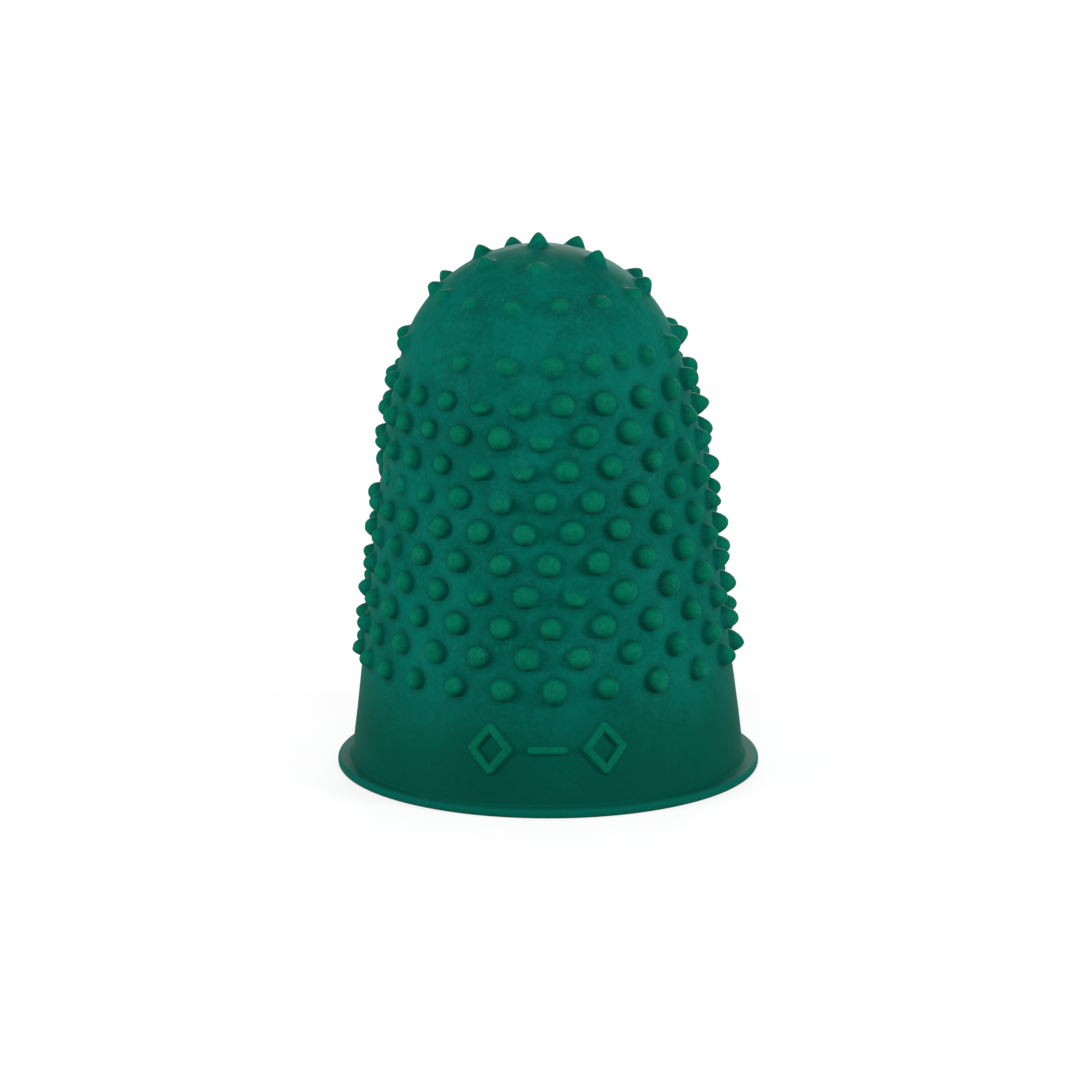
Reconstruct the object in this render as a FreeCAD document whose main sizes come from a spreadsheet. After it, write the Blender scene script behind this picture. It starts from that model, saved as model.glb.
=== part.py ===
import FreeCAD, Part
import math
import os
import Sketcher

# Rubber finger tip: a one-piece moulded cap that is worn on a fingertip to grip and count
# paper. Millimetres. Z runs up the axis to the closed end, the origin is the centre of the
# mouth's underside, and the front of the cap faces -Y.

SIZES = [
    ("flange_diameter", 20.5, "outside of the lip turned out round the mouth"),
    ("flange_thickness", 0.42, "height of the lip's edge"),
    ("flange_edge_round", 0.15, "rounding of the lip's two outer edges"),
    ("flange_root_fillet", 0.3, "hollow between the lip and the wall"),
    ("mouth_round", 0.25, "rounding of the mouth's inner edge"),
    ("body_mouth_diameter", 19.15, "outside of the wall, run down to the mouth plane"),
    ("wall_thickness", 0.9, "thickness of the rubber"),
    ("taper_angle", 6.92, "lean of the straight wall from the axis, in degrees"),
    ("taper_height", 15.17, "top of the straight wall"),
    ("shoulder_radius", 33.0, "wide arc that draws the wall in above the taper"),
    ("dome_radius", 6.865, "arc of the closed end, centred on the axis"),
    ("nub_foot_radius", 0.64, "a nub's foot, to its corners"),
    ("nub_end_radius", 0.31, "a nub's blunt end, to its corners"),
    ("nub_height", 0.66, "reach of a nub out of the wall"),
    ("nub_root_depth", 0.15, "depth of a nub's foot inside the wall"),
    ("row_nubs", 22, "nubs in each row round the wall"),
    ("first_row_height", 5.92, "lowest row, above the bare band"),
    ("row_pitch", 1.48, "step from row to row along the axis"),
    ("row_turn", 1.8, "turn of the lowest row from the front, in degrees"),
    ("row_drift", 0.23, "how much less each row is turned than the one below, in degrees"),
    ("crowding", 7.6, "how far the nubs are drawn together on one side, in degrees"),
    ("crowding_turn", 7.7, "turn of the place they are drawn from, in degrees"),
    ("top_row_slope", 19.6, "slope of the wall at the sparse row under the dome, in degrees"),
    ("dome_ring_nubs", 14, "nubs in the ring on the dome"),
    ("dome_ring_slope", 44.0, "slope of the dome at that ring, in degrees"),
    ("dome_ring_turn", 11.3, "turn of that ring from the front, in degrees"),
    ("tip_ring_slope", 65.0, "slope of the dome at the nubs next to the pole, in degrees"),
    ("chord_allowance", 0.055, "how far a straight step may stand from the arc it follows"),
]

WALL_ROWS = 10
NUB_SIDES = 8
FLATS_PER_NUB = 2
TOP_NUB_TURNS = (5, 23, 37, 51, 72, 91, 110, 129, 148, 167, 186, 205, 223, 241, 260, 280, 325, 346)
TIP_NUB_TURNS = (-1, 71, 143, 205, 248, 300)
TOUCHING = 1e-5

# Ends of a sketch's lines and arcs, and its fixed origin and axes.
START, END, CENTRE = 1, 2, 3
ACROSS, UP = -1, -2

doc = FreeCAD.newDocument("finger_tip")
sheet = doc.addObject("Spreadsheet::Sheet", "Sizes")
for row, (alias, value, note) in enumerate(SIZES, start=1):
    sheet.set("A%d" % row, note)
    sheet.set("B%d" % row, str(value))
    sheet.setAlias("B%d" % row, alias)
doc.recompute()


def size(alias):
    return float(sheet.get(alias))


def on_circle(centre, radius, angle):
    return FreeCAD.Vector(centre.x + radius * math.cos(angle), centre.y + radius * math.sin(angle), 0)


def arc(centre, radius, first, last):
    """An arc running counterclockwise between two angles in radians."""
    return Part.ArcOfCircle(Part.Circle(centre, FreeCAD.Vector(0, 0, 1), radius), first, last)


def constrain(sketch, kind, *where):
    return sketch.addConstraint(Sketcher.Constraint(kind, *where))


def dimension(sketch, kind, *where, value, formula):
    """A dimension with a start value, bound to a formula of the sheet's cells."""
    index = sketch.addConstraint(Sketcher.Constraint(kind, *where, value))
    sketch.setExpression("Constraints[%d]" % index, formula)


def wall_section():
    """Half the cap's section, from the mouth's underside out round the lip, up the wall and
    over the dome to the axis, and back down the inside at the rubber's thickness."""
    quarter = math.pi / 2
    lean = math.radians(size("taper_angle"))
    rubber = size("wall_thickness")
    mouth = size("body_mouth_diameter") / 2
    edge = size("flange_edge_round")
    root = size("flange_root_fillet")
    inner_edge = size("mouth_round")
    lip = size("flange_diameter") / 2
    lip_top = size("flange_thickness")
    taper_height = size("taper_height")
    shoulder = size("shoulder_radius")
    dome = size("dome_radius")

    def beside_wall(height, outwards):
        across = mouth - height * math.tan(lean) + outwards / math.cos(lean)
        return FreeCAD.Vector(across, height, 0)

    root_centre = beside_wall(lip_top + root, root)
    mouth_centre = beside_wall(inner_edge, inner_edge - rubber)
    lower_edge = FreeCAD.Vector(lip - edge, edge, 0)
    upper_edge = FreeCAD.Vector(lip - edge, lip_top - edge, 0)
    shoulder_centre = on_circle(beside_wall(taper_height, 0), -shoulder, lean)
    rise = math.sqrt((shoulder - dome) ** 2 - shoulder_centre.x ** 2)
    dome_centre = FreeCAD.Vector(0, shoulder_centre.y + rise, 0)
    dome_start = math.atan2(rise, -shoulder_centre.x)

    sketch = doc.addObject("Sketcher::SketchObject", "WallSection")
    sketch.Placement.Rotation = FreeCAD.Rotation(FreeCAD.Vector(1, 0, 0), 90)
    underside = sketch.addGeometry(Part.LineSegment(
        on_circle(mouth_centre, inner_edge, -quarter), on_circle(lower_edge, edge, -quarter)))
    lower_round = sketch.addGeometry(arc(lower_edge, edge, -quarter, 0))
    lip_edge = sketch.addGeometry(Part.LineSegment(
        on_circle(lower_edge, edge, 0), on_circle(upper_edge, edge, 0)))
    upper_round = sketch.addGeometry(arc(upper_edge, edge, 0, quarter))
    lip_face = sketch.addGeometry(Part.LineSegment(
        on_circle(upper_edge, edge, quarter), on_circle(root_centre, root, -quarter)))
    root_fillet = sketch.addGeometry(arc(root_centre, root, math.pi + lean, 3 * quarter))
    outer_wall = sketch.addGeometry(Part.LineSegment(
        on_circle(root_centre, -root, lean), beside_wall(taper_height, 0)))
    outer_shoulder = sketch.addGeometry(arc(shoulder_centre, shoulder, lean, dome_start))
    outer_dome = sketch.addGeometry(arc(dome_centre, dome, dome_start, quarter))
    pole = sketch.addGeometry(Part.LineSegment(
        on_circle(dome_centre, dome, quarter), on_circle(dome_centre, dome - rubber, quarter)))
    inner_dome = sketch.addGeometry(arc(dome_centre, dome - rubber, dome_start, quarter))
    inner_shoulder = sketch.addGeometry(arc(shoulder_centre, shoulder - rubber, lean, dome_start))
    inner_wall = sketch.addGeometry(Part.LineSegment(
        on_circle(shoulder_centre, shoulder - rubber, lean), on_circle(mouth_centre, -inner_edge, lean)))
    mouth_round = sketch.addGeometry(arc(mouth_centre, inner_edge, math.pi + lean, 3 * quarter))
    wall_foot = sketch.addGeometry(Part.Point(FreeCAD.Vector(mouth, 0, 0)), True)

    smooth_joints = [
        (underside, END, lower_round, START), (lower_round, END, lip_edge, START),
        (lip_edge, END, upper_round, START), (upper_round, END, lip_face, START),
        (lip_face, END, root_fillet, END), (root_fillet, START, outer_wall, START),
        (outer_wall, END, outer_shoulder, START), (outer_shoulder, END, outer_dome, START),
        (inner_dome, START, inner_shoulder, END), (inner_shoulder, START, inner_wall, START),
        (inner_wall, END, mouth_round, START), (mouth_round, END, underside, START),
    ]
    for joint in smooth_joints:
        constrain(sketch, "Tangent", *joint)
    constrain(sketch, "Coincident", outer_dome, END, pole, START)
    constrain(sketch, "Coincident", pole, END, inner_dome, END)
    constrain(sketch, "Coincident", inner_dome, CENTRE, outer_dome, CENTRE)
    constrain(sketch, "Coincident", inner_shoulder, CENTRE, outer_shoulder, CENTRE)
    constrain(sketch, "PointOnObject", underside, END, ACROSS)
    constrain(sketch, "PointOnObject", wall_foot, START, ACROSS)
    constrain(sketch, "PointOnObject", wall_foot, START, outer_wall)
    constrain(sketch, "PointOnObject", outer_dome, CENTRE, UP)
    constrain(sketch, "PointOnObject", pole, START, UP)
    constrain(sketch, "PointOnObject", pole, END, UP)
    constrain(sketch, "Horizontal", underside)
    constrain(sketch, "Horizontal", lip_face)
    constrain(sketch, "Vertical", lip_edge)
    constrain(sketch, "Parallel", outer_wall, inner_wall)
    constrain(sketch, "Equal", lower_round, upper_round)

    dimension(sketch, "Radius", lower_round, value=edge, formula="Sizes.flange_edge_round")
    dimension(sketch, "Radius", root_fillet, value=root, formula="Sizes.flange_root_fillet")
    dimension(sketch, "Radius", mouth_round, value=inner_edge, formula="Sizes.mouth_round")
    dimension(sketch, "Radius", outer_shoulder, value=shoulder, formula="Sizes.shoulder_radius")
    dimension(sketch, "Radius", outer_dome, value=dome, formula="Sizes.dome_radius")
    dimension(sketch, "Radius", inner_dome, value=dome - rubber,
              formula="Sizes.dome_radius - Sizes.wall_thickness")
    dimension(sketch, "DistanceX", ACROSS, START, lip_edge, START, value=lip,
              formula="Sizes.flange_diameter / 2")
    dimension(sketch, "DistanceY", ACROSS, START, lip_face, START, value=lip_top,
              formula="Sizes.flange_thickness")
    dimension(sketch, "DistanceX", ACROSS, START, wall_foot, START, value=mouth,
              formula="Sizes.body_mouth_diameter / 2")
    dimension(sketch, "DistanceY", ACROSS, START, outer_wall, END, value=taper_height,
              formula="Sizes.taper_height")
    dimension(sketch, "Angle", outer_wall, value=quarter + lean,
              formula="90 deg + Sizes.taper_angle * 1 deg")
    return sketch, outer_shoulder, outer_dome


def crowded(turn):
    """Where an even turn from the front comes on the cap, whose nubs are closer together on
    one side of the front than on the other."""
    here = math.cos(math.radians(turn - size("crowding_turn")))
    front = math.cos(math.radians(size("crowding_turn")))
    return turn - size("crowding") * (here - front)


def row_turn(level):
    """Turn of a row's first nub from the front, before crowding."""
    return size("row_turn") - level * size("row_drift") + level % 2 * 180 / size("row_nubs")


def ring_corner(point, flat, flats):
    """A point of the section, turned to the joint between one flat and the next."""
    middle = size("row_turn") - (WALL_ROWS - 1) / 2 * size("row_drift")
    turn = math.radians(crowded(middle + (flat + 0.5) * 360 / flats))
    return FreeCAD.Vector(point.x * math.sin(turn), -point.x * math.cos(turn), point.z)


def solid_of(polygons):
    """A solid bounded by plane faces, each given as its corners in order."""
    faces = [Part.Face(Part.makePolygon(corners + corners[:1])) for corners in polygons]
    solid = Part.Solid(Part.Shell(faces))
    return solid if solid.Volume > 0 else solid.reversed()


def outline_corners(section):
    """The section's outline as straight steps: an arc is divided until no step stands
    further from it than the chord allowance."""
    corners = []
    for edge in section.Shape.Wires[0].OrderedEdges:
        steps = 1
        if edge.Curve.TypeId == "Part::GeomCircle":
            widest = 2 * math.acos(1 - size("chord_allowance") / edge.Curve.Radius)
            steps = math.ceil(edge.Length / edge.Curve.Radius / widest)
        points = edge.discretize(Number=steps + 1)
        if corners and points[-1].isEqual(corners[-1], TOUCHING):
            points.reverse()
        corners += points[1:] if corners else points
    return corners


def wall_shape(section):
    """The wall, lip and dome turned about the axis as a ring of narrow flats, two to a nub, so
    that each nub of a row stands on the middle of a flat and its foot is cut by straight
    edges. This keeps the facets few where hundreds of nubs meet a round wall."""
    flats = FLATS_PER_NUB * int(size("row_nubs"))
    corners = outline_corners(section)
    polygons = []
    for here, there in zip(corners, corners[1:]):
        if max(here.x, there.x) < TOUCHING:
            continue
        for flat in range(flats):
            polygon = [ring_corner(there, flat + 1, flats), ring_corner(there, flat, flats)]
            if there.x < TOUCHING:
                polygon = polygon[:1]
            polygon.append(ring_corner(here, flat, flats))
            if here.x > TOUCHING:
                polygon.append(ring_corner(here, flat + 1, flats))
            polygons.append(polygon)
    return solid_of(polygons)


def nub_shape():
    """One nub: a blunt eight-sided frustum, its foot a little below the wall's surface."""
    foot_level = -size("nub_root_depth")
    foot = []
    end = []
    for side in range(NUB_SIDES):
        turn = 2 * math.pi * (side + 0.5) / NUB_SIDES
        outwards = FreeCAD.Vector(math.cos(turn), math.sin(turn), 0)
        foot.append(outwards * size("nub_foot_radius") + FreeCAD.Vector(0, 0, foot_level))
        end.append(outwards * size("nub_end_radius") + FreeCAD.Vector(0, 0, size("nub_height")))
    sides = [[foot[side - 1], foot[side], end[side], end[side - 1]] for side in range(NUB_SIDES)]
    return solid_of(sides + [foot, end])


def ring_of_nubs(name, across, height, slope, turns):
    """Nubs at one height, square to the wall there, at the given turns from the front."""
    nub = nub_shape()
    lean_back = FreeCAD.Rotation(FreeCAD.Vector(1, 0, 0), 90 - math.degrees(slope))
    on_wall = FreeCAD.Placement(FreeCAD.Vector(0, -across, height), lean_back)
    nubs = []
    for turn in turns:
        placed = nub.copy()
        about_axis = FreeCAD.Rotation(FreeCAD.Vector(0, 0, 1), turn)
        placed.Placement = FreeCAD.Placement(FreeCAD.Vector(0, 0, 0), about_axis) * on_wall
        nubs.append(placed)
    ring = doc.addObject("Part::Feature", name)
    ring.Shape = Part.makeCompound(nubs)
    return ring


def even_turns(count, first):
    return [first + index * 360 / count for index in range(count)]


section, shoulder_index, dome_index = wall_section()
doc.recompute()
shoulder = section.Geometry[shoulder_index]
dome = section.Geometry[dome_index]

wall = doc.addObject("Part::Feature", "Wall")
wall.Shape = wall_shape(section)

rings = []
row_nubs = int(size("row_nubs"))
for level in range(WALL_ROWS):
    height = size("first_row_height") + level * size("row_pitch")
    slope = math.radians(size("taper_angle"))
    across = size("body_mouth_diameter") / 2 - height * math.tan(slope)
    if height > size("taper_height"):
        slope = math.asin((height - shoulder.Center.y) / shoulder.Radius)
        across = shoulder.Center.x + shoulder.Radius * math.cos(slope)
    turns = [crowded(turn) for turn in even_turns(row_nubs, row_turn(level))]
    rings.append(ring_of_nubs("WallRow%d" % level, across, height, slope, turns))

dome_rings = [
    ("TopRow", size("top_row_slope"), TOP_NUB_TURNS),
    ("DomeRing", size("dome_ring_slope"), even_turns(int(size("dome_ring_nubs")), size("dome_ring_turn"))),
    ("TipRing", size("tip_ring_slope"), TIP_NUB_TURNS),
    ("PoleNub", 90, (0,)),
]
for name, degrees, turns in dome_rings:
    slope = math.radians(degrees)
    across = dome.Radius * math.cos(slope)
    height = dome.Center.y + dome.Radius * math.sin(slope)
    rings.append(ring_of_nubs(name, across, height, slope, turns))

cap = doc.addObject("Part::MultiFuse", "Cap")
cap.Shapes = [wall] + rings
cap.Refine = False
cap.Label = "finger_tip"
doc.recompute()

for item in doc.Objects:
    failed = {"Invalid", "Error"} & set(item.State)
    if failed:
        raise RuntimeError("%s: %s" % (item.Label, ", ".join(failed)))
if cap.Shape.isNull() or not cap.Shape.isValid() or len(cap.Shape.Solids) != 1:
    raise RuntimeError("finger_tip isn't one valid solid")

os.makedirs("parts", exist_ok=True)
cap.Shape.Solids[0].exportStep("parts/%s.step" % cap.Label)
print("finger_tip: %d faces, %.1f cubic mm" % (len(cap.Shape.Faces), cap.Shape.Volume))
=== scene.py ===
import math
import random

import bpy
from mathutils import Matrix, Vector, kdtree, noise
from mathutils.geometry import delaunay_2d_cdt


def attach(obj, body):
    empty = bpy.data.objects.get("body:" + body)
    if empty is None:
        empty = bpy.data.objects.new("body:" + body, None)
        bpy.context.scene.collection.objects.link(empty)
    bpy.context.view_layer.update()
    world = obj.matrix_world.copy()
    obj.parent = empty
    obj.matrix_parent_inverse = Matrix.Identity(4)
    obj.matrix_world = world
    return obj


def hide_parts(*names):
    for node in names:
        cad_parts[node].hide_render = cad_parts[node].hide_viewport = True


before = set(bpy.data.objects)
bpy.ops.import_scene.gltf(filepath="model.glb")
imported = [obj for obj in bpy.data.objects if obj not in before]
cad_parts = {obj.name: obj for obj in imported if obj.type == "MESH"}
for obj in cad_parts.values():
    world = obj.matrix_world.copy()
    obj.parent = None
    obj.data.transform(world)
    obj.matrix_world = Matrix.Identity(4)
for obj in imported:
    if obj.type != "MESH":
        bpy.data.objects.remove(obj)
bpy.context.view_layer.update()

# Sizes of the cap in millimetres. Z runs up the axis, the mouth's underside is at 0 and the
# front faces -Y. A run is a distance down the outside from the pole of the dome, and a turn is
# an angle round the axis from the front.
MM = 0.001
LIP_RADIUS = 10.235
LIP_THICKNESS = 0.42
LIP_EDGE_ROUND = 0.15
LIP_HOLLOW = 0.22
MOUTH_ROUND = 0.25
WALL_FOOT_RADIUS = 9.575
RUBBER = 0.9
LEAN = math.radians(6.92)
TAPER_HEIGHT = 15.17
SHOULDER = 33.0
DOME = 6.865

# The unevenness of moulded rubber: broad waves, and finer ripples on them.
WAVE_RISE = 0.022
WAVES_ROUND = 3.0
WAVES_DOWN = 0.33
RIPPLE_RISE = 0.010
RIPPLE_FINENESS = 3.1
LIP_WAVES_ROUND = 2.2
LIP_WAVES_ACROSS = 0.8
LIP_SHORTFALL = 0.045
LIP_LIFT = 0.05
LIP_LIFT_FINENESS = 0.8

# The rows of nubs from the lowest up, the ring on the dome and the ring round its pole. Turns
# are in degrees.
ROW_NUBS = 22
WALL_ROWS = 10
FIRST_ROW_HEIGHT = 5.92
ROW_PITCH = 1.48
ROW_TURN = 2.5
ROW_DRIFT = 0.26
CROWDING = 7.1
CROWDING_TURN = 3.8
TOP_ROW_SLOPE = 19.6
TOP_ROW_TURNS = (5, 23, 37, 51, 72, 91, 110, 129, 148, 167, 186, 205, 223, 241, 260, 280, 325, 346)
DOME_RING_NUBS = 14
DOME_RING_SLOPE = 44.0
DOME_RING_TURN = 11.3
TIP_RING_SLOPE = 65.0
TIP_RING_TURNS = (-1, 71, 143, 205, 248, 300)

# A nub. The rubber rises from its foot through a small fillet. A greater taper makes it blunter
# and a greater roundness fuller. Each pair is the least and the most of what its nubs have.
NUB_FOOT = 0.59
NUB_REACH = 0.74
POLE_NUB_REACH = 0.65
NUB_FILLET = 0.07
FILLET_MIDDLE = (0.4, 0.18)
FILLET_TOP = 0.8
FOOT_SHARES = (0.90, 1.05)
REACH_SHARES = (0.9, 1.0)
TAPERS = (1.8, 2.4)
ROUNDNESSES = (1.0, 1.4)
PRESSED_SHARES = (0.0, 0.3)
PIT_DEPTHS = (0.02, 0.07)
PIT_RADIUS = 0.13
LOBE_SIZE = 0.07
NUB_LEAN = 0.03
SPUR_SIZE = 0.24
SPUR_WIDTH = 0.33
SPUR_FADE = 1.5
PRESS_LINE = 0.45
PRESS_STEEPNESS = 0.75

# How many of the nubs have a pit in the end, a spur at the foot or a round head.
PITTED_SHARE = 0.3
SPURRED_SHARE = 0.03
ROUND_SHARE = 0.08
ROUND_TAPER = 2.3
ROUND_ROUNDNESS = 2.0

# The nubs in front are worn lower and blunter, and those on the left are lower and slimmer.
WORN_EDGE = 0.25
WORN_FADE = 0.45
WORN_LOSS = 0.10
WORN_TAPER = 0.8
WORN_ROUNDNESS = 0.25
SIDE_DIFFERENCE = 0.08
LEFT_LOSS = 0.09
LEFT_SLIMMING = 0.12

# The nubs of the top row and those above it, which are slimmer and rise more gently.
TOP_ROW_NUB = {"foot": 0.98, "reach": 0.90, "taper": 2.0, "roundness": 1.25}
DOME_NUB = {"foot": 0.94, "reach": 0.88, "taper": 1.6, "roundness": 1.1}
SOFT_FILLET = 0.14
# Painted shade round a dome nub's foot, as a share of that round the others.
SOFT_SHADE = 0.25
SOFT_PRESSING = 0.5
SOFT_WORN_LOSS = 0.12

# Nubs that came out of the mould unlike the rest, by row and by place round it from the front:
# how far one side is pressed in, or how far the whole nub stands out.
PRESSED_NUBS = {(9, 21): 1.0, (9, 20): 0.95, (8, 0): 0.9, (7, 21): 0.75, (7, 20): 0.7, (6, 21): 0.6,
                (3, 0): 1.0, (3, 20): 0.7, (6, 19): 0.7}
SUNK_NUBS = {(6, 16): 0.3, (6, 17): 0.3, (6, 18): 0.45, (9, 19): 0.8, (8, 19): 0.8, (7, 19): 0.8}
ROUND_NUBS = {(9, 4), (9, 5)}
SPURRED_NUBS = {(0, 0)}
SUNK_FOOT = 0.85
PRESS_WAY_SPREAD = 0.35

# The real cap isn't quite true: above the lip it leans to the left, its rows rise to the right,
# and its closed end is bent a little further over.
CAP_LEAN = math.radians(0.87)
ROW_TILT = math.radians(0.68)
ROW_TILT_START = 3.0
TIP_BEND = 0.09
TIP_BEND_START = 13.0
TIP_BEND_LENGTH = 8.0

# How finely the rubber is meshed. Rows of corners are a little closer than the spacing.
COLUMNS = 220
NUB_SIDES = 24
NUB_RINGS = 7
FOOT_LEVELS = 3
CURVE_STEPS = 48
HOLLOW_STEPS = 5
LIP_STEPS = 5
UNDER_LIP_STEPS = 4
INSIDE_STEPS = 34
WALL_SPACING = 0.29
WALL_ROW_SHARE = 0.9
ORNAMENT_SPACING = 0.07
ORNAMENT_ROW_SHARE = 0.87
FEWEST_CORNERS = 6
CLEAR_OF_NUB = 1.06
CLEAR_GAP = 0.12
SAME_PLACE = 1e-6

# The raised ornament on the bare band in front: two lozenges with a bar between them.
ORNAMENT_HEIGHT = 3.1
ORNAMENT_RISE = 0.20
STROKE_HALF_WIDTH = 0.15
STROKE_SHOULDER = 0.10
LOZENGE_PLACE = 2.75
LOZENGE_WIDTH = 1.75
LOZENGE_HEIGHT = 2.1
BAR_LENGTH = 1.5
BAND_ABOVE_ORNAMENT = 2.0
BAND_HALF_TURN = 0.6
FINE_MESH_REACH = 0.38
COARSE_MESH_START = 0.45

# How strongly painted shade darkens the creases, from 0 to 1: round a nub's foot, up its flank
# until it fades, in the hollow above the lip and beside a stroke of the ornament. A stroke's
# top is also given the nubs' tint and painted highlight, as if it were this share of the way up a nub.
FOOT_SHADE = 0.7
FLANK_SHADE = 0.95
FLANK_FADE = 1.7
HOLLOW_SHADE = 0.8
STROKE_SHADE = 0.6
STROKE_SHADE_WIDTH = 0.13
STROKE_HIGHLIGHT = 0.6

# Arcs and lines of the section that follow from these sizes.
TAPER_ACROSS = WALL_FOOT_RADIUS - TAPER_HEIGHT * math.tan(LEAN)
SHOULDER_ACROSS = TAPER_ACROSS - SHOULDER * math.cos(LEAN)
SHOULDER_HEIGHT = TAPER_HEIGHT - SHOULDER * math.sin(LEAN)
DOME_HEIGHT = SHOULDER_HEIGHT + math.sqrt((SHOULDER - DOME) ** 2 - SHOULDER_ACROSS ** 2)
DOME_EDGE = math.atan2(DOME_HEIGHT - SHOULDER_HEIGHT, -SHOULDER_ACROSS)
DOME_RUN = DOME * (math.pi / 2 - DOME_EDGE)
SHOULDER_RUN = DOME_RUN + SHOULDER * (DOME_EDGE - LEAN)
HOLLOW_HEIGHT = LIP_THICKNESS + LIP_HOLLOW
HOLLOW_ACROSS = WALL_FOOT_RADIUS - HOLLOW_HEIGHT * math.tan(LEAN) + LIP_HOLLOW / math.cos(LEAN)
WAVY_FROM = HOLLOW_ACROSS - 0.1
WALL_RUN = SHOULDER_RUN + (TAPER_HEIGHT - HOLLOW_HEIGHT + LIP_HOLLOW * math.sin(LEAN)) / math.cos(LEAN)
TOP_ROW_RUN = DOME * math.radians(90 - TOP_ROW_SLOPE)
DOME_RING_RUN = DOME * math.radians(90 - DOME_RING_SLOPE)
TIP_RING_RUN = DOME * math.radians(90 - TIP_RING_SLOPE)


def smooth(value):
    """0 below 0, 1 above 1, and a smooth step between them."""
    value = min(1.0, max(0.0, value))
    return value * value * (3 - 2 * value)


def section_at(run):
    """A place on the outside: its distance from the axis, its height, and how far the wall's
    outward direction is tilted up."""
    if run < DOME_RUN:
        slope = math.pi / 2 - run / DOME
        return DOME * math.cos(slope), DOME_HEIGHT + DOME * math.sin(slope), slope
    if run < SHOULDER_RUN:
        slope = DOME_EDGE - (run - DOME_RUN) / SHOULDER
        across = SHOULDER_ACROSS + SHOULDER * math.cos(slope)
        return across, SHOULDER_HEIGHT + SHOULDER * math.sin(slope), slope
    down = run - SHOULDER_RUN
    return TAPER_ACROSS + down * math.sin(LEAN), TAPER_HEIGHT - down * math.cos(LEAN), LEAN


def run_at_height(height):
    """The run of a height on the wall below the dome."""
    if height > TAPER_HEIGHT:
        slope = math.asin((height - SHOULDER_HEIGHT) / SHOULDER)
        return DOME_RUN + SHOULDER * (DOME_EDGE - slope)
    return SHOULDER_RUN + (TAPER_HEIGHT - height) / math.cos(LEAN)


def flat_strokes():
    """The ornament's strokes on the unrolled band, as pairs of ends."""
    strokes = [(Vector((-BAR_LENGTH / 2, 0)), Vector((BAR_LENGTH / 2, 0)))]
    for side in (-LOZENGE_PLACE, LOZENGE_PLACE):
        right = Vector((side + LOZENGE_WIDTH / 2, 0))
        top = Vector((side, LOZENGE_HEIGHT / 2))
        left = Vector((side - LOZENGE_WIDTH / 2, 0))
        bottom = Vector((side, -LOZENGE_HEIGHT / 2))
        strokes += [(right, top), (top, left), (left, bottom), (bottom, right)]
    return strokes


STROKES = flat_strokes()
ORNAMENT_RUN = run_at_height(ORNAMENT_HEIGHT)
ORNAMENT_ACROSS = section_at(ORNAMENT_RUN)[0]


def stroke_distance(run, turn):
    """Distance from a place on the band to the nearest stroke of the ornament."""
    here = Vector((turn * ORNAMENT_ACROSS, ORNAMENT_RUN - run))
    gaps = []
    for start, end in STROKES:
        along = end - start
        share = min(1.0, max(0.0, (here - start).dot(along) / along.length_squared))
        gaps.append((here - start - along * share).length)
    return min(gaps)


def near_ornament(run, turn):
    """Whether a place is on the part of the band that the ornament is on."""
    return run > ORNAMENT_RUN - BAND_ABOVE_ORNAMENT and abs(turn) < BAND_HALF_TURN


def rubber_wave(run, turn):
    """The slight unevenness of moulded rubber, in millimetres."""
    place = Vector((math.sin(turn) * WAVES_ROUND, math.cos(turn) * WAVES_ROUND, run * WAVES_DOWN))
    return WAVE_RISE * noise.noise(place) + RIPPLE_RISE * noise.noise(place * RIPPLE_FINENESS)


def leaning(point):
    """Where a place of the true cap comes on the leaning one."""
    above = max(0.0, point.z - LIP_THICKNESS)
    shift = above * math.tan(CAP_LEAN) + TIP_BEND * smooth((point.z - TIP_BEND_START) / TIP_BEND_LENGTH)
    lift = point.x * math.tan(ROW_TILT) * smooth(above / ROW_TILT_START)
    return Vector((point.x - shift, point.y, point.z + lift))


def turned(across, height, turn):
    """A place at a distance from the axis, a height and a turn from the front."""
    return Vector((across * math.sin(turn), -across * math.cos(turn), height))


def on_outside(run, turn):
    """A place on the finished outside, with its unevenness and the ornament."""
    across, height, slope = section_at(run)
    rise = rubber_wave(run, turn)
    if near_ornament(run, turn):
        shoulder = (STROKE_HALF_WIDTH + STROKE_SHOULDER - stroke_distance(run, turn)) / STROKE_SHOULDER
        rise += ORNAMENT_RISE * smooth(shoulder)
    return turned(across + rise * math.cos(slope), height + rise * math.sin(slope), turn)


# The outside is meshed on a plane map that keeps its angles: a place keeps its turn, and its
# distance from the map's centre is its spread. A small circle on the rubber stays a circle.
MAP_STEP = 0.02


def spread_table():
    """Runs and their spreads, from the pole to the foot of the wall."""
    runs = [0.0]
    spreads = [0.0]
    while runs[-1] < WALL_RUN + 1:
        run = runs[-1] + MAP_STEP
        if run <= DOME_RUN:
            spread = 2 * DOME * math.tan(run / DOME / 2)
        else:
            spread = spreads[-1] * math.exp(MAP_STEP / section_at(run - MAP_STEP / 2)[0])
        runs.append(run)
        spreads.append(spread)
    return runs, spreads


RUNS, SPREADS = spread_table()


def spread_of(run):
    """The spread of a run, from the table."""
    step = min(int(run / MAP_STEP), len(RUNS) - 2)
    share = (run - RUNS[step]) / MAP_STEP
    return SPREADS[step] + share * (SPREADS[step + 1] - SPREADS[step])


def run_of(spread):
    """The run of a spread, from the table."""
    low = 0
    high = len(SPREADS) - 1
    while high - low > 1:
        middle = (low + high) // 2
        if SPREADS[middle] <= spread:
            low = middle
        else:
            high = middle
    share = (spread - SPREADS[low]) / (SPREADS[high] - SPREADS[low])
    return RUNS[low] + share * MAP_STEP


def map_place(run, turn):
    """Where a place on the outside comes on the map."""
    spread = spread_of(run)
    return Vector((spread * math.sin(turn), -spread * math.cos(turn)))


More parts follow.
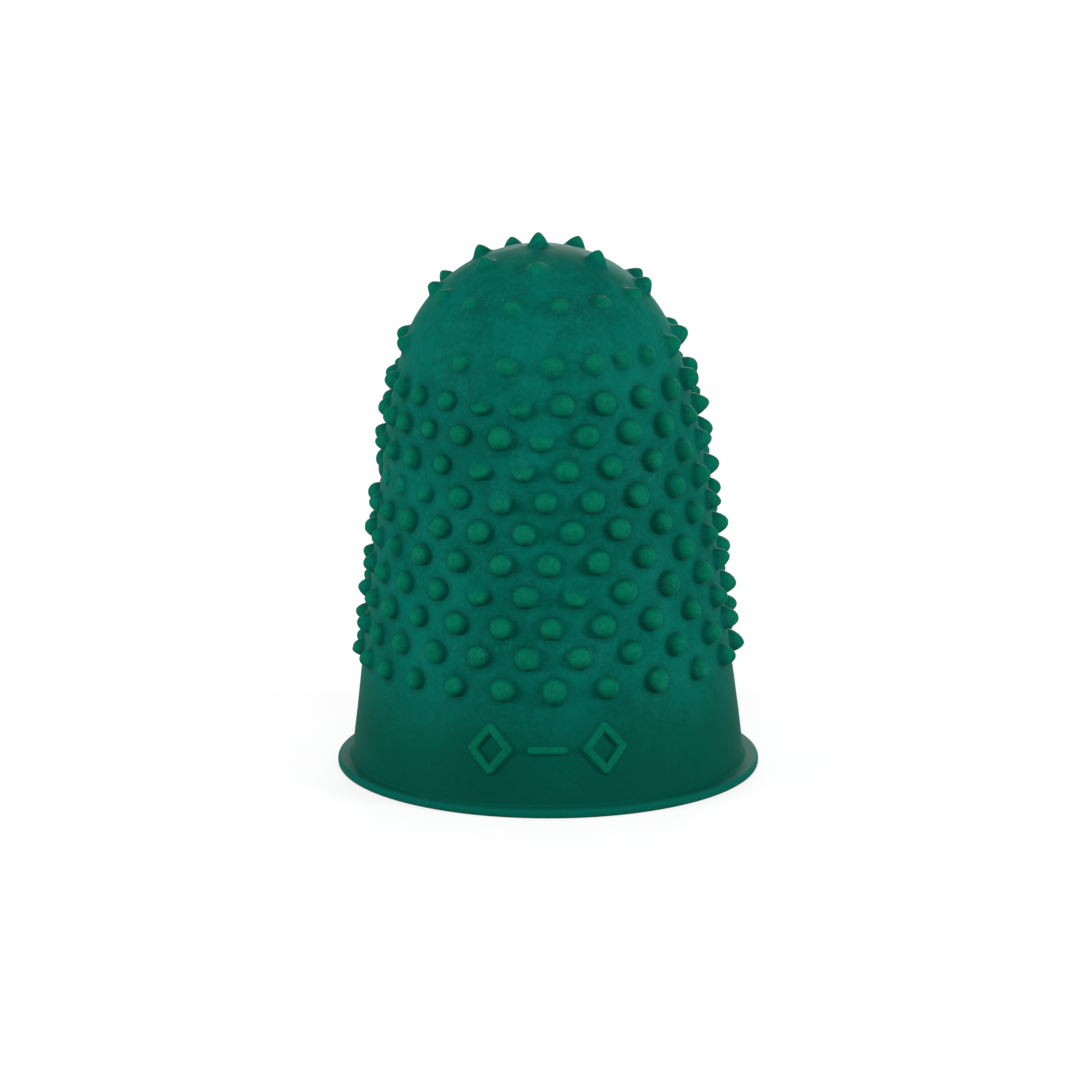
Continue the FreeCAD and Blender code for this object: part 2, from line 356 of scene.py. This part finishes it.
def crowded(turn):
    """Where an even turn in degrees comes on the cap, whose nubs are closer together on one
    side of the front than on the other."""
    here = math.cos(math.radians(turn - CROWDING_TURN))
    front = math.cos(math.radians(CROWDING_TURN))
    return turn - CROWDING * (here - front)


def nub_places():
    """The run and turn of every nub, the lowest row first."""
    places = []
    for level in range(WALL_ROWS):
        run = run_at_height(FIRST_ROW_HEIGHT + level * ROW_PITCH)
        first = ROW_TURN - level * ROW_DRIFT + level % 2 * 180 / ROW_NUBS
        places += [(run, crowded(first + index * 360 / ROW_NUBS)) for index in range(ROW_NUBS)]
    places += [(TOP_ROW_RUN, turn) for turn in TOP_ROW_TURNS]
    ring_turns = [DOME_RING_TURN + index * 360 / DOME_RING_NUBS for index in range(DOME_RING_NUBS)]
    places += [(DOME_RING_RUN, turn) for turn in ring_turns]
    places += [(TIP_RING_RUN, turn) for turn in TIP_RING_TURNS]
    places.append((0.0, 0.0))
    return [(run, math.radians(turn)) for run, turn in places]


class Nub:
    """One moulded nub, with its own small differences from the rest."""

    def __init__(self, number, run, turn, chance):
        self.run = run
        self.turn = turn
        seat = divmod(number, ROW_NUBS)
        self.mould(chance)
        self.reach *= SUNK_NUBS.get(seat, 1.0)
        worn = smooth((math.cos(turn) - WORN_EDGE) / WORN_FADE)
        self.wear(worn)
        if self.round_headed or seat in ROUND_NUBS:
            self.taper = ROUND_TAPER
            self.roundness = ROUND_ROUNDNESS
        if seat in SUNK_NUBS:
            self.foot *= SUNK_FOOT
        if seat in PRESSED_NUBS:
            self.pressed = PRESSED_NUBS[seat]
            self.press_way = math.pi + chance.gauss(0, PRESS_WAY_SPREAD)
        if seat in SPURRED_NUBS:
            self.spur = 0.0
        if number >= WALL_ROWS * ROW_NUBS:
            self.soften(worn)
        if run == 0:
            self.reach = POLE_NUB_REACH
            self.pressed = 0.0
            self.lean = Vector((0, 0))
        across, height, slope = section_at(run)
        self.axis = turned(math.cos(slope), math.sin(slope), turn)
        self.scale = spread_of(run) / across if run > 0 else 1.0
        self.centre = map_place(run, turn)

    def mould(self, chance):
        """The nub as it comes from the mould, with its chance differences."""
        circle = (0, 2 * math.pi)
        self.foot = NUB_FOOT * chance.uniform(*FOOT_SHARES)
        self.reach = NUB_REACH * chance.uniform(*REACH_SHARES)
        self.fillet = NUB_FILLET
        # How much painted shade the crease round the foot gets.
        self.crease_shade = 1.0
        self.taper = chance.uniform(*TAPERS)
        self.roundness = chance.uniform(*ROUNDNESSES)
        self.pressed = chance.uniform(*PRESSED_SHARES)
        self.press_way = chance.uniform(*circle)
        self.pit = chance.uniform(*PIT_DEPTHS) if chance.random() < PITTED_SHARE else 0.0
        self.lobes = [(order, chance.uniform(0, LOBE_SIZE) / order, chance.uniform(*circle))
                      for order in (1, 2, 3)]
        self.lean = Vector((chance.gauss(0, NUB_LEAN), chance.gauss(0, NUB_LEAN)))
        self.spur = chance.uniform(*circle) if chance.random() < SPURRED_SHARE else None
        self.round_headed = chance.random() < ROUND_SHARE

    def wear(self, worn):
        """Make the nub blunter and lower where it is worn, and lower and slimmer on the left."""
        side = math.sin(self.turn)
        on_left = smooth(-side)
        self.taper += WORN_TAPER * worn
        self.roundness += WORN_ROUNDNESS * worn
        self.reach *= (1 - WORN_LOSS * worn) * (1 + SIDE_DIFFERENCE * side) * (1 - LEFT_LOSS * on_left)
        self.foot *= 1 - LEFT_SLIMMING * on_left

    def soften(self, worn):
        """A nub of the dome is slimmer, rises more gently and comes to a point."""
        shape = DOME_NUB if self.run < TOP_ROW_RUN else TOP_ROW_NUB
        self.foot *= shape["foot"]
        self.reach *= shape["reach"] * (1 - SOFT_WORN_LOSS * worn)
        self.taper = shape["taper"]
        self.roundness = shape["roundness"]
        self.fillet = SOFT_FILLET
        self.crease_shade = SOFT_SHADE
        self.pressed *= SOFT_PRESSING

    def profile(self):
        """Distances from the nub's axis and heights above the wall, from the foot up, and the
        height of its end."""
        out_share, up_share = FILLET_MIDDLE
        levels = [(self.foot + self.fillet, 0.0)]
        levels += [(self.foot + self.fillet * out_share, self.fillet * up_share)]
        curve = []
        for index in range(CURVE_STEPS + 1):
            sweep = index / CURVE_STEPS * math.pi / 2
            out = self.foot * math.cos(sweep) ** (2 / self.taper)
            up = self.reach * math.sin(sweep) ** (2 / self.roundness)
            curve.append(Vector((out, up - self.pit * math.exp(-(out / PIT_RADIUS) ** 2))))
        curve = [point for point in curve if point.y > self.fillet * FILLET_TOP]
        lengths = [0.0]
        for here, there in zip(curve, curve[1:]):
            lengths.append(lengths[-1] + (there - here).length)
        for ring in range(NUB_RINGS):
            wanted = lengths[-1] * ring / NUB_RINGS
            index = max(i for i, length in enumerate(lengths) if length <= wanted)
            levels.append((curve[index].x, curve[index].y))
        return levels, curve[-1].y

    def left_standing(self, out, angle):
        """How much of the nub's height is left at a point, less on the side that is pressed in."""
        side = out / self.foot * math.cos(angle - self.press_way)
        return 1 - self.pressed * smooth(PRESS_LINE + PRESS_STEEPNESS * side)

    def around(self, out, up, angle):
        """The place on the map of a point of the nub."""
        share = up / self.reach
        wobble = 1 + sum(size * math.cos(order * (angle - phase)) for order, size, phase in self.lobes)
        if self.spur is not None:
            off = (angle - self.spur + math.pi) % (2 * math.pi) - math.pi
            wobble += SPUR_SIZE * math.exp(-(off / SPUR_WIDTH) ** 2) * smooth(1 - share * SPUR_FADE)
        side = Vector((math.cos(angle), math.sin(angle))) * out * wobble + self.lean * share
        down = Vector((math.sin(self.turn), -math.cos(self.turn)))
        across = Vector((math.cos(self.turn), math.sin(self.turn)))
        return self.centre + (down * side.x + across * side.y) * self.scale

    def point(self, out, up, angle):
        """The place in space of a point of the nub."""
        place = self.around(out, up, angle)
        turn = math.atan2(place.x, -place.y)
        return on_outside(run_of(place.length), turn) + self.axis * up * self.left_standing(out, angle)


class Skin:
    """The corners and faces of the cap as they are added, with how far up a nub each corner
    is, which sets its tint and painted highlight, and how much painted shade it gets in the crease
    round a nub."""

    def __init__(self):
        self.corners = []
        self.reaches = []
        self.crease_shades = []
        self.faces = []

    def add(self, point, reach=0.0, crease_shade=0.0):
        self.corners.append(leaning(point))
        self.reaches.append(reach)
        self.crease_shades.append(crease_shade)
        return len(self.corners) - 1

    def band(self, first, second):
        """Four-sided faces between two closed rings of corners."""
        for index in range(len(first)):
            after = (index + 1) % len(first)
            self.faces.append((first[index], first[after], second[after], second[index]))

    def close(self, ring, tip):
        """Three-sided faces from a closed ring of corners to one corner."""
        for index in range(len(ring)):
            self.faces.append((ring[index], ring[(index + 1) % len(ring)], tip))


def stroke_tones(run, turn):
    """The painted highlight on a stroke's top, as a share of the way up a nub, and the painted shade
    in the crease beside it.
    """
    if not near_ornament(run, turn):
        return 0.0, 0.0
    beyond = stroke_distance(run, turn) - STROKE_HALF_WIDTH
    share = STROKE_HIGHLIGHT * smooth(1 - beyond / STROKE_SHOULDER)
    crease_shade = STROKE_SHADE * smooth(1 - abs(beyond - STROKE_SHOULDER) / STROKE_SHADE_WIDTH)
    return share, crease_shade


def wall_places(nubs):
    """Places of the wall's own corners between the nubs, finer on the ornament."""
    standing = kdtree.KDTree(len(nubs))
    for index, nub in enumerate(nubs):
        standing.insert(on_outside(nub.run, nub.turn), index)
    standing.balance()
    places = []
    rings = int(WALL_RUN / WALL_SPACING / WALL_ROW_SHARE)
    for ring in range(1, rings):
        run = WALL_RUN * ring / rings
        count = max(FEWEST_CORNERS, round(2 * math.pi * section_at(run)[0] / WALL_SPACING))
        for index in range(count):
            turn = 2 * math.pi * (index + ring % 2 / 2) / count
            turn = (turn + math.pi) % (2 * math.pi) - math.pi
            point = on_outside(run, turn)
            nearest, index_of_nub, gap = standing.find(point)
            if gap < nubs[index_of_nub].foot * CLEAR_OF_NUB + nubs[index_of_nub].fillet + CLEAR_GAP:
                continue
            if near_ornament(run, turn) and stroke_distance(run, turn) < COARSE_MESH_START:
                continue
            places.append((run, turn))
    half_wide = LOZENGE_PLACE + LOZENGE_WIDTH
    half_high = LOZENGE_HEIGHT
    columns = int(2 * half_wide / ORNAMENT_SPACING)
    levels = int(2 * half_high / ORNAMENT_SPACING / ORNAMENT_ROW_SHARE)
    for level in range(levels):
        run = ORNAMENT_RUN - half_high + 2 * half_high * level / levels
        for column in range(columns):
            side = -half_wide + 2 * half_wide * (column + level % 2 / 2) / columns
            turn = side / ORNAMENT_ACROSS
            if run < WALL_RUN - CLEAR_GAP and stroke_distance(run, turn) < FINE_MESH_REACH:
                places.append((run, turn))
    return places


def mesh_outside(skin, nubs):
    """The wall from the pole down to the hollow above the lip, with every nub. Gives back the
    ring of corners it ends in."""
    flat = []
    edges = []
    owner = []

    def plant(place, point, share=0.0, crease_shade=0.0, nub=None):
        flat.append(place)
        owner.append(nub)
        return skin.add(point, share, crease_shade)

    feet = []
    for number, nub in enumerate(nubs):
        levels, tip = nub.profile()
        out = levels[0][0]
        ring = []
        for index in range(NUB_SIDES):
            angle = 2 * math.pi * index / NUB_SIDES
            # Painted shade round the foot, less where the nub is pressed in.
            crease_shade = FOOT_SHADE * nub.crease_shade * nub.left_standing(out, angle)
            place = nub.around(out, 0.0, angle)
            ring.append(plant(place, nub.point(out, 0.0, angle), 0.0, crease_shade, number))
        edges += [(ring[index - 1], ring[index]) for index in range(NUB_SIDES)]
        feet.append(ring)
    last = []
    for column in range(COLUMNS):
        turn = 2 * math.pi * column / COLUMNS
        last.append(plant(map_place(WALL_RUN, turn), on_outside(WALL_RUN, turn)))
    edges += [(last[index - 1], last[index]) for index in range(COLUMNS)]
    for run, turn in wall_places(nubs):
        # A stroke's top gets painted highlight, and the crease beside it painted shade.
        share, crease_shade = stroke_tones(run, turn)
        plant(map_place(run, turn), on_outside(run, turn), share, crease_shade)

    found = delaunay_2d_cdt(flat, edges, [], 0, SAME_PLACE)
    sources = [originals[0] for originals in found[3]]
    for face in found[2]:
        corners = tuple(sources[corner] for corner in face)
        owners = {owner[corner] for corner in corners}
        if len(owners) > 1 or owners == {None}:
            skin.faces.append(corners)

    for nub, ring in zip(nubs, feet):
        levels, tip = nub.profile()
        below = ring
        for step, (out, up) in enumerate(levels[1:], start=1):
            # How far up the nub a ring is sets its tint and painted highlight; painted shade fills the foot
            # and fades up the flank.
            share = up / nub.reach
            at_foot = step < FOOT_LEVELS
            crease_shade = nub.crease_shade * (1.0 if at_foot else max(0.0, FLANK_SHADE - share * FLANK_FADE))
            ring = []
            for index in range(NUB_SIDES):
                angle = 2 * math.pi * index / NUB_SIDES
                left = nub.left_standing(out, angle)
                ring.append(skin.add(nub.point(out, up, angle), smooth(share * left), crease_shade * left))
            skin.band(below, ring)
            below = ring
        skin.close(below, skin.add(nub.point(0.0, tip, 0.0), 1.0))
    return last


def arc_points(across, height, radius, first, last, steps):
    """Points on an arc of the section, the first left out."""
    points = []
    for step in range(1, steps + 1):
        angle = first + (last - first) * step / steps
        points.append((across + radius * math.cos(angle), height + radius * math.sin(angle)))
    return points


def mesh_lip_and_inside(skin, last):
    """The hollow, the lip, the mouth and the inside, from the outside's last ring of corners."""
    quarter = math.pi / 2
    edge = LIP_EDGE_ROUND
    lip_edge = LIP_RADIUS - edge
    mouth_across = WALL_FOOT_RADIUS - MOUTH_ROUND * math.tan(LEAN) + (MOUTH_ROUND - RUBBER) / math.cos(LEAN)
    section = arc_points(HOLLOW_ACROSS, HOLLOW_HEIGHT, LIP_HOLLOW, math.pi + LEAN, 3 * quarter,
                         HOLLOW_STEPS)
    section += [(lip_edge, LIP_THICKNESS)]
    section += arc_points(lip_edge, LIP_THICKNESS - edge, edge, quarter, 0, LIP_STEPS)
    section += [(LIP_RADIUS, LIP_THICKNESS / 2)]
    section += [(LIP_RADIUS, edge)]
    section += arc_points(lip_edge, edge, edge, 0, -quarter, UNDER_LIP_STEPS)
    section += [(mouth_across, 0.0)]
    section += arc_points(mouth_across, MOUTH_ROUND, MOUTH_ROUND, 3 * quarter, math.pi + LEAN,
                          UNDER_LIP_STEPS)
    turns = [2 * math.pi * column / COLUMNS for column in range(COLUMNS)]
    below = last
    for step, (across, height) in enumerate(section):
        ring = []
        # Painted shade in the hollow above the lip.
        crease_shade = HOLLOW_SHADE if step < HOLLOW_STEPS else 0.0
        for turn in turns:
            place = Vector((math.sin(turn) * LIP_WAVES_ROUND, math.cos(turn) * LIP_WAVES_ROUND,
                            across * LIP_WAVES_ACROSS + height))
            out = across
            up = height
            if across > WAVY_FROM:
                lift = noise.noise(place * LIP_LIFT_FINENESS)
                out -= LIP_SHORTFALL * (1 + noise.noise(place)) / 2
                up += LIP_LIFT * lift * smooth(height / LIP_THICKNESS)
            ring.append(skin.add(turned(out, up, turn), 0.0, crease_shade))
        skin.band(ring, below)
        below = ring
    start = run_at_height(MOUTH_ROUND)
    for step in range(1, INSIDE_STEPS):
        run = start * (1 - step / INSIDE_STEPS)
        across, height, slope = section_at(run)
        inner = across - RUBBER * math.cos(slope)
        up = height - RUBBER * math.sin(slope)
        ring = [skin.add(turned(inner, up, turn)) for turn in turns]
        skin.band(ring, below)
        below = ring
    below.reverse()
    skin.close(below, skin.add(Vector((0, 0, DOME_HEIGHT + DOME - RUBBER))))


# The seed of the nubs' chance differences.
MOULDING = 22


def rubber_cap(finish):
    """The whole cap as one closed mesh."""
    chance = random.Random(MOULDING)
    places = nub_places()
    nubs = [Nub(number, run, turn, chance) for number, (run, turn) in enumerate(places)]
    skin = Skin()
    last = mesh_outside(skin, nubs)
    mesh_lip_and_inside(skin, last)
    mesh = bpy.data.meshes.new("rubber_cap")
    mesh.from_pydata([corner * MM for corner in skin.corners], [], skin.faces)
    # How far up a nub each corner is, for the tint and painted highlight, and its painted shade.
    for name, values in (("nub_tint_and_highlight", skin.reaches), ("crease_shade", skin.crease_shades)):
        layer = mesh.attributes.new(name, "FLOAT", "POINT")
        layer.data.foreach_set("value", values)
    mesh.shade_smooth()
    mesh.materials.append(finish)
    cap = bpy.data.objects.new("rubber_cap", mesh)
    bpy.context.scene.collection.objects.link(cap)
    return cap


class Wire:
    """An output of a shader node that plain arithmetic works on."""

    def __init__(self, finish, socket):
        self.finish = finish
        self.socket = socket

    def maths(self, operation, first, second):
        return self.finish.node("ShaderNodeMath", {"operation": operation}, {0: first, 1: second})

    def __add__(self, other):
        return self.maths("ADD", self, other)

    __radd__ = __add__

    def __rsub__(self, other):
        return self.maths("SUBTRACT", other, self)

    def __mul__(self, other):
        return self.maths("MULTIPLY", self, other)

    __rmul__ = __mul__

    def between(self, low, high):
        """0 below low, 1 above high, and smooth between them."""
        return self.finish.node("ShaderNodeMapRange", {"interpolation_type": "SMOOTHSTEP"},
                                {0: self, 1: low, 2: high, 3: 0.0, 4: 1.0})


class Finish:
    """The nodes of a material or of the world, and the ways to add to them."""

    def __init__(self, owner):
        owner.use_nodes = True
        self.owner = owner
        self.tree = owner.node_tree
        self.tree.nodes.clear()

    def node(self, kind, settings, sockets, result=0):
        """A new node with its settings, then the values or links of its sockets. Gives back the
        output named as the result."""
        made = self.tree.nodes.new(kind)
        for name, value in settings.items():
            setattr(made, name, value)
        for name, value in sockets.items():
            if isinstance(value, Wire):
                self.tree.links.new(value.socket, made.inputs[name])
            else:
                made.inputs[name].default_value = value
        return Wire(self, made.outputs[result]) if made.outputs else made

    def blend(self, mask, first, second):
        """The first colour where the mask is 0 and the second where it is 1. The node numbers its
        mask 0, its colours 6 and 7, and the colour that it gives 2."""
        return self.node("ShaderNodeMix", {"data_type": "RGBA"}, {0: mask, 6: first, 7: second}, 2)

    def grain(self, place, per_metre, detail=2.0, roughness=0.5):
        """Noise from 0 to 1, about per_metre blotches to the metre."""
        return self.node("ShaderNodeTexNoise", {},
                         {"Vector": place, "Scale": per_metre, "Detail": detail, "Roughness": roughness})

    def object_place(self):
        """The place on the object, in metres."""
        return self.node("ShaderNodeTexCoord", {}, {}, "Object")

    def point_value(self, name):
        """A number that the mesh holds for each corner."""
        return self.node("ShaderNodeAttribute", {"attribute_name": name}, {}, "Fac")

    def output(self, surface, kind="ShaderNodeOutputMaterial"):
        """Finish the material, or the world, with its surface."""
        self.node(kind, {}, {"Surface": surface})
        return self.owner


# The greens of the rubber, as the linear values that a shader takes. The green near the mouth
# and the crease green are painted shade; the nub greens are the nubs' greener tint with painted
# highlight in them.
WALL_GREEN = (0.0006, 0.156, 0.115, 1)
DEEP_GREEN = (0.0004, 0.104, 0.074, 1)
NUB_GREEN = (0.0008, 0.182, 0.098, 1)
DULL_NUB_GREEN = (0.0006, 0.138, 0.076, 1)
CREASE_SHADE_GREEN = (0.0003, 0.062, 0.044, 1)
LOW_SHADE_GREEN = (0.0004, 0.066, 0.044, 1)
TALC_GREEN = (0.035, 0.245, 0.195, 1)
SHEEN_GREEN = (0.7, 1, 0.9, 1)

# The rubber's grain, in blotches to the metre.
BLOTCHES = 260
MOTTLES = 1500
FINE_GRAINS = 5200
TALC_AREAS = 420
TALC_SPECKS = 8500

# How fully each tone covers those under it, painted shade and painted highlight among them,
# and how much of the talc is rubbed off the low part that hands touch most.
LOW_SHADE_COVER = 0.8
LIT_LIP_COVER = 0.55
NUB_COVER = 0.9
CREASE_SHADE_COVER = 0.62
TALC_COVER = 0.25
TALC_RUBBED_OFF = 0.7

# The heights between which the painted shade near the mouth, where the talc is also rubbed off,
# and the lip's painted lighter tone fade out, and the stretches of each grain over which its tone
# comes in.
LOW_SHADE_AND_HANDLING_HEIGHTS = (1.5 * MM, 7.5 * MM)
LIT_LIP_HEIGHTS = (0.40 * MM, 0.55 * MM)
WALL_TONES = (0.37, 0.63)
NUB_TONES = (0.36, 0.62)
NUB_END = (0.15, 0.80)
SPECK_TONES = (0.50, 0.72)
DUST_TONES = (0.42, 0.75)

ROUGHNESS = 0.56
GRAIN_DEPTH = 0.00003


def moulded_rubber():
    """Matt green moulded rubber: slightly mottled, with traces of talc. The nubs' ends have a greener
    tint with painted highlight, the lip face is painted lighter, and painted shade darkens the rubber
    near the mouth and in the creases round the nubs."""
    finish = Finish(bpy.data.materials.new("moulded_rubber"))
    place = finish.object_place()
    blotches = finish.grain(place, BLOTCHES, 2.0, 0.55)
    mottle = finish.grain(place, MOTTLES, 3.0, 0.6)
    specks = finish.grain(place, TALC_SPECKS, 1.0, 0.5)
    dusty = finish.grain(place, TALC_AREAS, 2.0, 0.6)
    fine = finish.grain(place, FINE_GRAINS, 2.0, 0.6)
    nub_tint_and_highlight = finish.point_value("nub_tint_and_highlight")
    crease_shade = finish.point_value("crease_shade")
    height = finish.node("ShaderNodeSeparateXYZ", {}, {0: place}, "Z")

    shade = (blotches * 0.40 + mottle * 0.30 + fine * 0.30).between(*WALL_TONES)
    colour = finish.blend(shade, DEEP_GREEN, WALL_GREEN)
    # Painted shade: the rubber is darker toward the mouth, below the lowest rows of nubs.
    low_shade_and_handling = 1 - height.between(*LOW_SHADE_AND_HANDLING_HEIGHTS)
    colour = finish.blend(low_shade_and_handling * LOW_SHADE_COVER, colour, LOW_SHADE_GREEN)
    # Painted light: the lip face is lighter than the shaded wall just above it.
    lip = 1 - height.between(*LIT_LIP_HEIGHTS)
    colour = finish.blend(lip * LIT_LIP_COVER, colour, WALL_GREEN)
    # The nubs' ends and the strokes' tops: a greener tint with painted highlight.
    nub_shade = (mottle * 0.5 + fine * 0.5).between(*NUB_TONES)
    nub_colour = finish.blend(nub_shade, DULL_NUB_GREEN, NUB_GREEN)
    colour = finish.blend(nub_tint_and_highlight.between(*NUB_END) * NUB_COVER, colour, nub_colour)
    # Painted shade in the creases round the nubs, in the hollow above the lip and beside the strokes.
    colour = finish.blend(crease_shade * CREASE_SHADE_COVER, colour, CREASE_SHADE_GREEN)
    talc = specks.between(*SPECK_TONES) * dusty.between(*DUST_TONES) * (1 - TALC_RUBBED_OFF * low_shade_and_handling)
    colour = finish.blend(talc * TALC_COVER, colour, TALC_GREEN)

    roughness = ROUGHNESS + 0.10 * mottle + 0.06 * blotches
    relief = 0.6 * mottle + 0.4 * fine
    bump = finish.node("ShaderNodeBump", {}, {"Strength": 0.5, "Distance": GRAIN_DEPTH, "Height": relief})
    surface = finish.node("ShaderNodeBsdfPrincipled", {}, {
        "Base Color": colour,
        "Roughness": roughness,
        "Normal": bump,
        "IOR": 1.45,
        "Specular IOR Level": 0.02,
        "Sheen Weight": 0.03,
        "Sheen Roughness": 0.3,
        "Sheen Tint": SHEEN_GREEN,
    })
    return finish.output(surface)


# The floor and the surroundings. The floor is grey to the light and to the object. The camera
# sees its glow too, which brings it up to white outside the object's faint shadow.
WHITE = (1, 1, 1, 1)
FLOOR_GREY = (0.38, 0.38, 0.38, 1)
FLOOR_GLOW = 0.73
FLOOR_HALF = 0.6
FLOOR_DROP = 0.01
LOW_LIGHT = 0.12


def paper_floor():
    """A pale floor that the camera sees as white, with the object's shadow on it."""
    finish = Finish(bpy.data.materials.new("paper_floor"))
    seen = finish.node("ShaderNodeLightPath", {}, {}, "Is Camera Ray")
    mirrored = finish.node("ShaderNodeLightPath", {}, {}, "Is Glossy Ray")
    lit = finish.node("ShaderNodeBsdfDiffuse", {}, {"Color": FLOOR_GREY})
    glow = finish.node("ShaderNodeEmission", {}, {"Color": WHITE, "Strength": FLOOR_GLOW})
    shown = finish.node("ShaderNodeAddShader", {}, {0: lit, 1: glow})
    return finish.output(finish.node("ShaderNodeMixShader", {}, {0: seen + mirrored, 1: lit, 2: shown}))


def pale_floor():
    """A flat square just under the cap's mouth."""
    corners = [(-1, -1), (1, -1), (1, 1), (-1, 1)]
    mesh = bpy.data.meshes.new("paper")
    mesh.from_pydata([(x * FLOOR_HALF, y * FLOOR_HALF, -FLOOR_DROP * MM) for x, y in corners], [],
                     [(0, 1, 2, 3)])
    mesh.materials.append(paper_floor())
    floor = bpy.data.objects.new("paper", mesh)
    bpy.context.scene.collection.objects.link(floor)


def soft_surroundings():
    """White for the camera and for reflections, and a low even light on the object."""
    finish = Finish(bpy.data.worlds.new("studio"))
    seen = finish.node("ShaderNodeLightPath", {}, {}, "Is Camera Ray")
    mirrored = finish.node("ShaderNodeLightPath", {}, {}, "Is Glossy Ray")
    low = finish.node("ShaderNodeBackground", {}, {"Color": WHITE, "Strength": LOW_LIGHT})
    white = finish.node("ShaderNodeBackground", {}, {"Color": WHITE, "Strength": 1.0})
    mixed = finish.node("ShaderNodeMixShader", {}, {0: seen + mirrored, 1: low, 2: white})
    bpy.context.scene.world = finish.output(mixed, "ShaderNodeOutputWorld")


def softbox(name, place, wide, high, watts):
    """A soft lamp that faces the middle of the cap. Its place, width and height are in metres."""
    lamp = bpy.data.lights.new(name, "AREA")
    lamp.shape = "RECTANGLE"
    lamp.size = wide
    lamp.size_y = high
    lamp.energy = watts
    stand = bpy.data.objects.new(name, lamp)
    stand.location = place
    stand.rotation_mode = "QUATERNION"
    stand.rotation_quaternion = (CAP_MIDDLE - Vector(place)).to_track_quat("-Z", "Y")
    bpy.context.scene.collection.objects.link(stand)


# The camera: a long lens a little above the cap, which stands a little high in the picture.
# Lengths are in metres, and places in the picture are in pixels of the photograph.
CAP_MIDDLE = Vector((0, 0, 0.013))
CAMERA_DISTANCE = 0.350
CAMERA_ELEVATION = math.radians(13.66)
SENSOR_WIDTH = 36
PICTURE_WIDTH = 1080
PIXELS_PER_MM = 20.733
MIDDLE_IN_PICTURE = (548.3, 501.1)


def photo_camera():
    """The camera at the photograph's angle, shifted to stand the cap where it is in the picture."""
    lens = bpy.data.cameras.new("long_lens")
    lens.sensor_width = SENSOR_WIDTH
    lens.lens = PIXELS_PER_MM / MM * CAMERA_DISTANCE / PICTURE_WIDTH * SENSOR_WIDTH
    lens.clip_start = 0.01
    lens.clip_end = 10
    camera = bpy.data.objects.new("camera", lens)
    back = Vector((0, -math.cos(CAMERA_ELEVATION), math.sin(CAMERA_ELEVATION)))
    camera.location = CAP_MIDDLE + back * CAMERA_DISTANCE
    lens.shift_x = (PICTURE_WIDTH / 2 - MIDDLE_IN_PICTURE[0]) / PICTURE_WIDTH
    lens.shift_y = (MIDDLE_IN_PICTURE[1] - PICTURE_WIDTH / 2) / PICTURE_WIDTH
    camera.rotation_mode = "QUATERNION"
    camera.rotation_quaternion = (-back).to_track_quat("-Z", "Y")
    bpy.context.scene.collection.objects.link(camera)
    bpy.context.scene.camera = camera


photo_camera()
pale_floor()
soft_surroundings()
softbox("left_softbox", (-0.25, -0.11, 0.070), wide=0.09, high=0.10, watts=0.45)
softbox("right_softbox", (0.26, -0.10, 0.075), wide=0.09, high=0.10, watts=0.50)
softbox("front_softbox", (0.0, -0.22, 0.120), wide=0.10, high=0.08, watts=0.18)
softbox("top_softbox", (0.0, 0.02, 0.22), wide=0.12, high=0.12, watts=0.07)
softbox("rear_softbox", (0.03, 0.29, 0.09), wide=0.14, high=0.12, watts=0.54)

cap = rubber_cap(moulded_rubber())
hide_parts("finger_tip")
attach(cap, "root")

bpy.context.scene.view_settings.view_transform = "Standard"
